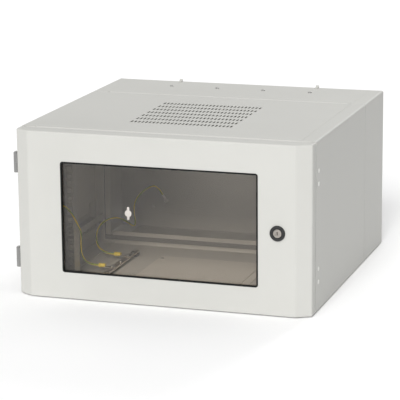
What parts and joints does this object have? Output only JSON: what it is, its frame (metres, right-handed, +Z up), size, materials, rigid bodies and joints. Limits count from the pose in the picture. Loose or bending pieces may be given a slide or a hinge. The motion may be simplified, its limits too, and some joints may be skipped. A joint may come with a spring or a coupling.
{
  "type": "wall mount network cabinet",
  "caption": "Wall mount network cabinet with a swing-out front section, rack rails, slotted top, and a bevelled door with smoked glass and a cam lock.",
  "frame": {"origin": "centre of the four wall keyholes, in the plane of the rear face that lies flat against the wall", "axes": "+Y into the wall, +Z up, +X to the right as seen from the front"},
  "size_m": [0.6132, 0.604, 0.341],
  "materials": {
    "grey_paint": "fine powder coat, semi-matt",
    "zinc_steel": "zinc plated",
    "tinned_copper": "tinned",
    "brass": "plain",
    "black_plastic": "matt",
    "white_plastic": "matt",
    "smoked_glass": "smoked, clear",
    "black_rubber": "matt",
    "grey_foam": "matt",
    "lead_jacket": "yellow and green jacket"
  },
  "bodies": {
    "rear_section": {"rear_side_left": "grey_paint", "rear_side_right": "grey_paint", "rear_top_panel": "grey_paint", "rear_bottom_panel": "grey_paint", "rear_back_plate": "grey_paint", "back_cover_panel": "grey_paint", "back_cover_screws": "zinc_steel", "top_cable_rail": "grey_paint", "top_rail_screws": "zinc_steel", "top_fixing_tabs": "grey_paint", "rear_seam_gasket": "grey_foam", "turn_button_pins": "zinc_steel", "section_hinge_fixed_leaf_upper": "grey_paint", "section_hinge_fixed_leaf_lower": "grey_paint", "section_hinge_pins": "zinc_steel", "back_earth_stud": "zinc_steel", "back_earth_lug": "tinned_copper"},
    "upper_button": {"turn_button_upper": "zinc_steel"},
    "lower_button": {"turn_button_lower": "zinc_steel"},
    "front_section": {"front_side_left": "grey_paint", "front_side_right": "grey_paint", "front_top_panel": "grey_paint", "front_bottom_panel": "grey_paint", "floor_cover_plate": "grey_paint", "floor_plate_screws": "zinc_steel", "rail_left": "zinc_steel", "rail_right": "zinc_steel", "depth_brace_left_lower": "zinc_steel", "depth_brace_left_upper": "zinc_steel", "depth_brace_right_lower": "zinc_steel", "depth_brace_right_upper": "zinc_steel", "rail_screws": "zinc_steel", "earth_bar": "brass", "earth_bar_base": "black_plastic", "earth_bar_screws": "zinc_steel", "earth_bar_lugs": "tinned_copper", "section_hinge_moving_leaf_upper": "grey_paint", "section_hinge_moving_leaf_lower": "grey_paint", "section_hinge_backing_plates": "grey_paint", "door_hinge_body_leaf_upper": "grey_paint", "door_hinge_body_leaf_lower": "grey_paint", "door_hinge_screws": "zinc_steel", "door_hinge_pins": "zinc_steel", "spare_hole_plugs": "white_plastic", "door_earth_lead": "lead_jacket", "rear_earth_lead": "lead_jacket"},
    "front_door": {"door_panel": "grey_paint", "door_glass": "smoked_glass", "window_seal": "black_rubber", "glass_retainers": "zinc_steel", "door_gasket": "black_rubber", "door_hinge_door_leaf_upper": "grey_paint", "door_hinge_door_leaf_lower": "grey_paint", "lock_housing": "black_plastic", "lock_nut": "zinc_steel", "door_earth_stud": "zinc_steel", "door_earth_lug": "tinned_copper"},
    "lock_barrel": {"lock_cylinder": "zinc_steel", "lock_cam": "zinc_steel", "cam_screw": "zinc_steel"}
  },
  "joints": [
    {"name": "section_swing", "type": "hinge", "parent": "rear_section", "child": "front_section", "pos_m": [-0.3038, -0.165, 0], "axis": [0, 0, -1], "range_deg": [0, 90], "deforming": ["rear_earth_lead"]},
    {"name": "door_swing", "type": "hinge", "parent": "front_section", "child": "front_door", "pos_m": [-0.3065, -0.572, 0], "axis": [0, 0, -1], "range_deg": [0, 180], "deforming": ["door_earth_lead"]},
    {"name": "lock_turn", "type": "hinge", "parent": "front_door", "child": "lock_barrel", "pos_m": [0.2358, -0.58, -0.0037], "axis": [0, -1, 0], "range_deg": [0, 90]},
    {"name": "upper_button_turn", "type": "hinge", "parent": "rear_section", "child": "upper_button", "pos_m": [0.269, -0.1695, 0.07], "axis": [0, -1, 0], "range_deg": [0, 90]},
    {"name": "lower_button_turn", "type": "hinge", "parent": "rear_section", "child": "lower_button", "pos_m": [0.269, -0.1695, -0.07], "axis": [0, -1, 0], "range_deg": [0, 90]}
  ]
}
